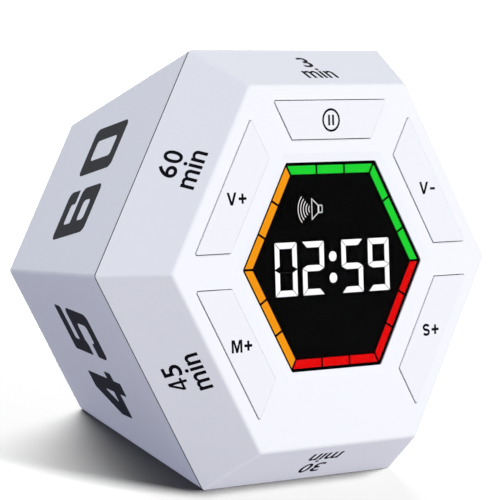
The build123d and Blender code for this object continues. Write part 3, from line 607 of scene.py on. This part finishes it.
dress(surface("solder_mask", solder_mask), "main_board", "power_board")
dress(black_plastic, "controller_chip", "driver_chip", "gravity_sensor", "charge_chip")
dress(steel, "crystal")
ceramic_tan = moulded("ceramic_tan", (0.40, 0.27, 0.16), (0.50, 0.36, 0.23),
                      grain=0.0002, roughness=0.5, depth=0.00001)
dress(ceramic_tan, "capacitors")


# Cell: a flat lithium pouch in dull foil, with its protection strip under amber film.
# Foam tape holds it to the rear of the main board.
cell_foil = moulded("cell_foil", (0.50, 0.51, 0.53), (0.62, 0.63, 0.65),
                    grain=0.0010, roughness=0.38, depth=0.00005)
dress(cell_foil, "battery_cell")
amber_film = moulded("amber_film", (0.46, 0.20, 0.02), (0.58, 0.30, 0.04),
                     grain=0.0010, roughness=0.25, depth=0.00002)
dress(amber_film, "battery_strip")
foam_grey = moulded("foam_grey", (0.040, 0.040, 0.042), (0.075, 0.075, 0.078),
                    grain=0.0005, roughness=0.9, depth=0.00012)
dress(foam_grey, "battery_tape")


# Loudspeaker: a pressed steel basket with a paper cone and a magnet, on a foam ring.
# It sits in a round seat behind the sound holes of the back.
dress(steel, "speaker_frame", "speaker_magnet")
cone_paper = moulded("cone_paper", (0.008, 0.008, 0.009), (0.020, 0.020, 0.022),
                     grain=0.0004, roughness=0.85, depth=0.00006)
dress(cone_paper, "speaker_cone")
dress(foam_grey, "speaker_gasket")


# Charging socket and on-off switch: bought parts that stand on the small board.
# The socket is drawn steel round a black tongue, and the switch's knob slides in a dish in the back.
socket_steel = plated("socket_steel", (0.55, 0.55, 0.56), (0.70, 0.70, 0.71),
                      roughness=0.22, stretch=(8.0, 1.0, 8.0))
dress(socket_steel, "usb_shell")
dress(black_plastic, "usb_tongue", "slide_switch_body", "slide_switch_knob")


# Plugs and leads: ivory plugs on the boards, joined by pairs of red and black insulated leads.
# They carry the cell, the charging current and the sound.
plug_ivory = moulded("plug_ivory", (0.66, 0.63, 0.53), (0.74, 0.71, 0.61),
                     grain=0.0005, roughness=0.45, depth=0.00002)
dress(plug_ivory, "battery_plug", "supply_plug", "speaker_plug", "power_plug")
lead_red = moulded("lead_red", (0.34, 0.006, 0.006), (0.44, 0.012, 0.012),
                   grain=0.0005, roughness=0.45, depth=0.00002)
dress(lead_red, "battery_lead_red", "supply_lead_red", "speaker_lead_red")
lead_black = moulded("lead_black", (0.008, 0.008, 0.009), (0.016, 0.016, 0.018),
                     grain=0.0005, roughness=0.45, depth=0.00002)
dress(lead_black, "battery_lead_black", "supply_lead_black", "speaker_lead_black")


# Rear shell: the deep white cup that closes the case, with a broad numeral on each facet.
# The numerals are pad-printed in charcoal, with their tops towards the back.
dress(case_white, "rear_shell")
NUMERAL_HEIGHT = 13.3
NUMERAL_WIDTH = 9.2
NUMERAL_GAP = 3.05
ONE_WIDTH = 5.2
# Distance of their middles from the seam, along the slope
NUMERAL_DEPTH = 21.35
SOFT = 1.25
FIRM = 0.45
ARC_STEPS = 6
# Outlines of the figures as corners with their radii, counted from the lower left of each figure
NUMERALS = {
    "0": [
        [(0, 0, SOFT), (9.2, 0, SOFT), (9.2, 13.3, SOFT), (0, 13.3, SOFT)],
        [(2.65, 2.6, 0.7), (6.55, 2.6, 0.7), (6.55, 10.7, 0.7), (2.65, 10.7, 0.7)],
    ],
    "1": [
        [(2.6, 0, 0.2), (5.2, 0, 0.2), (5.2, 13.3, FIRM), (2.9, 13.3, FIRM), (0, 11.4, FIRM), (0, 8.9, 0.2),
         (2.6, 10.3, 0.2)],
    ],
    "3": [
        [(0, 9.3, 0.2), (0, 13.3, SOFT), (9.2, 13.3, SOFT), (9.2, 0, SOFT), (0, 0, SOFT), (0, 4.0, 0.2),
         (2.6, 4.0, 0.2), (2.6, 2.6, 0.3), (6.55, 2.6, 0.7), (6.55, 5.35, 0.7), (3.3, 5.35, 0.2),
         (3.3, 7.95, 0.2), (6.55, 7.95, 0.7), (6.55, 10.7, 0.7), (2.6, 10.7, 0.3), (2.6, 9.3, 0.2)],
    ],
    "4": [
        [(5.0, 0, 0.2), (7.7, 0, 0.2), (7.7, 2.6, 0.2), (9.2, 2.6, FIRM), (9.2, 5.2, FIRM), (7.7, 5.2, 0.2),
         (7.7, 13.3, FIRM), (4.4, 13.3, FIRM), (0, 6.8, FIRM), (0, 2.6, FIRM), (5.0, 2.6, 0.2)],
        [(2.75, 5.2, 0.2), (5.0, 5.2, 0.2), (5.0, 8.8, 0.2)],
    ],
    "5": [
        [(0, 13.3, FIRM), (0, 5.9, FIRM), (2.3, 5.9, 0.3), (2.9, 6.35, 0.3), (6.5, 6.35, 0.8),
         (6.5, 2.6, 0.8), (3.1, 2.6, 0.4), (2.6, 3.85, 0.3), (0, 3.85, 0.3), (0, 0, SOFT), (9.2, 0, SOFT),
         (9.2, 8.9, SOFT), (2.6, 8.9, 0.3), (2.6, 10.7, 0.3), (9.0, 10.7, FIRM), (9.0, 13.3, FIRM)],
    ],
    "6": [
        [(0, 0, SOFT), (9.2, 0, SOFT), (9.2, 7.85, SOFT), (2.6, 7.85, 0.2), (2.6, 10.65, 0.6),
         (6.45, 10.65, 0.5), (6.45, 9.05, 0.3), (9.1, 9.05, 0.3), (9.1, 13.3, SOFT), (0, 13.3, SOFT)],
        [(2.65, 2.5, 0.8), (6.55, 2.5, 0.8), (6.55, 5.3, 0.8), (2.65, 5.3, 0.8)],
    ],
}


def rounded(corners):
    """Loop of points that follows straight runs and an arc of the given radius at each corner."""
    loop = []
    for number, (x, y, radius) in enumerate(corners):
        corner = Vector((x, y))
        before = (Vector(corners[number - 1][:2]) - corner).normalized()
        after = (Vector(corners[(number + 1) % len(corners)][:2]) - corner).normalized()
        half = before.angle(after) / 2
        middle = corner + (before + after).normalized() * radius / sin(half)
        start = corner + before * radius / tan(half) - middle
        end = corner + after * radius / tan(half) - middle
        sweep = start.angle_signed(end)
        for step in range(ARC_STEPS + 1):
            spoke = start.copy()
            spoke.rotate(Matrix.Rotation(-sweep * step / ARC_STEPS, 2))
            loop.append(tuple(middle + spoke))
    return loop


numeral_ink = moulded("numeral_ink", (0.006, 0.007, 0.010), (0.010, 0.011, 0.015),
                      grain=0.0003, roughness=0.55, depth=0.000004, patch=0.004, gloss=0.12)
for side, (minutes, *_) in MINUTES.items():
    edge, _, rearward = rear_facet("rest_" + side)
    out = Vector(rests["rest_" + side]["axis"])
    widths = [ONE_WIDTH if figure == "1" else NUMERAL_WIDTH for figure in minutes]
    left = -(sum(widths) + NUMERAL_GAP * (len(widths) - 1)) / 2
    loops = []
    for figure, width in zip(minutes, widths):
        for corners in NUMERALS[figure]:
            shifted = [(x + left, y - NUMERAL_HEIGHT / 2, radius) for x, y, radius in corners]
            loops.append(rounded(shifted))
        left += width + NUMERAL_GAP
    numeral = printed("numeral_" + side, loops)
    lay(numeral, edge + rearward * NUMERAL_DEPTH * MILLIMETRE, rearward.cross(out), out)
    numeral.data.materials.append(numeral_ink)
    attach(numeral, "case")


# Screws: pan-head steel screws with a cross slot, blackened by their plating.
# Three in the deep wells draw the shells together, and the others hold the boards.
screw_steel = plated("screw_steel", (0.16, 0.16, 0.17), (0.26, 0.26, 0.27),
                     roughness=0.34, stretch=(6.0, 6.0, 1.0))
dress(screw_steel, "case_screws", "board_screws", "power_screws")


# Studio: a floor that two soft lamps of its own light white round a deep shadow, soft lamps round the
# timer, pale light from all round, and a long lens at the photograph's angle. The timer gets from the
# floor a pale blue glow and a small share of what the floor's lamps bounce.
FLOOR_SIZE = 8.0
FLOOR_DROP = 0.00005
FLOOR_BOUNCE = 0.116
FLOOR_PAINT = (0.12, 0.12, 0.12, 1.0)
FLOOR_GLOW = (0.197, 0.197, 0.305, 1.0)
bpy.ops.mesh.primitive_plane_add(size=FLOOR_SIZE, location=(0, 0, -FLOOR_DROP))
floor = bpy.context.object
floor.name = "floor"
floor_white = bpy.data.materials.new("floor_white")
floor_shade = emptied(floor_white)
seen = floor_shade.node("ShaderNodeLightPath", output="Is Camera Ray")
share = seen * (1 - FLOOR_BOUNCE) + FLOOR_BOUNCE
floor_paint = floor_shade.node("ShaderNodeBsdfDiffuse", inputs={"Color": FLOOR_PAINT})
floor_glow = floor_shade.node("ShaderNodeEmission", inputs={"Color": FLOOR_GLOW})
floor_shader = floor_shade.node("ShaderNodeMixShader", inputs={0: share, 1: floor_glow, 2: floor_paint})
floor_shade.node("ShaderNodeOutputMaterial", inputs={"Surface": floor_shader})
floor.data.materials.append(floor_white)

AMBIENT = (0.19, 0.194, 0.233)
BACKDROP = (1.0, 1.0, 1.0)
world = bpy.data.worlds.new("studio")
bpy.context.scene.world = world
sky = emptied(world)
shown = (sky.node("ShaderNodeLightPath", output="Is Camera Ray")
         + sky.node("ShaderNodeLightPath", output="Is Glossy Ray")
         + sky.node("ShaderNodeLightPath", output="Is Transmission Ray"))
shown = shown.math("MINIMUM", shown, 1.0)
background = sky.node("ShaderNodeBackground", inputs={"Color": shown.blend(AMBIENT, BACKDROP)})
sky.node("ShaderNodeOutputWorld", inputs={"Surface": background})

# For each lamp: the way to it, its size, the level of its light on a white face, and its colour
LAMPS = {
    "front": ((0.12, -0.99, 0.03), 0.25, 0.69, (1.0, 1.0, 0.942)),
    "left": ((-0.97, -0.10, 0.12), 0.7, 0.093, (0.97, 1.0, 0.95)),
    "back_left": ((-0.75, 0.50, 0.40), 0.7, 0.221, (0.87, 0.94, 1.0)),
    "back_right": ((0.50, 0.80, 0.40), 0.7, 0.317, (0.92, 0.94, 1.0)),
    "top": ((0.0, -0.20, 0.97), 0.7, 0.375, (0.92, 0.93, 1.0)),
    "front_floor": ((0.487, -0.573, 0.659), 0.8, 11.3, (1.0, 1.0, 1.0)),
    "back_floor": ((0.266, 0.808, 0.526), 1.8, 17.4, (1.0, 1.0, 1.0)),
}
LAMP_AIM = Vector((0, 0, 0.04))
LAMP_DISTANCE = 2.5
for name, (direction, size, level, colour) in LAMPS.items():
    towards = Vector(direction).normalized()
    bpy.ops.object.light_add(type="AREA", location=LAMP_AIM + towards * LAMP_DISTANCE)
    lamp = bpy.context.object
    lamp.name = name + "_lamp"
    lamp.rotation_euler = towards.to_track_quat("Z", "Y").to_euler()
    lamp.data.size = size
    lamp.data.energy = level * (pi * LAMP_DISTANCE) ** 2
    lamp.data.color = colour
    lamp.visible_glossy = False
    lamp.visible_transmission = False
    # Flags keep the lamps of the timer off the floor, and those of the floor off the timer
    reach = bpy.data.collections.new(name + "_lamp_reach")
    reach.objects.link(floor)
    reach.collection_objects[0].light_linking.link_state = "INCLUDE" if "floor" in name else "EXCLUDE"
    lamp.light_linking.receiver_collection = reach

VIEW_AZIMUTH = radians(41.399)
VIEW_DROP = radians(13.063)
VIEW_ROLL = radians(8.147)
VIEW_DISTANCE = 0.49492
VIEW_AIM = Vector((-0.005386, -0.009192, 0.036558))
VIEW_LENS = 210.05
ahead = Vector((sin(VIEW_AZIMUTH) * cos(VIEW_DROP), cos(VIEW_AZIMUTH) * cos(VIEW_DROP), -sin(VIEW_DROP)))
bpy.ops.object.camera_add(location=VIEW_AIM - ahead * VIEW_DISTANCE)
camera = bpy.context.object
camera.rotation_euler = (ahead.to_track_quat("-Z", "Y") @ Quaternion((0, 0, 1), VIEW_ROLL)).to_euler()
camera.data.lens = VIEW_LENS
bpy.context.scene.camera = camera
bpy.context.scene.view_settings.view_transform = "Standard"
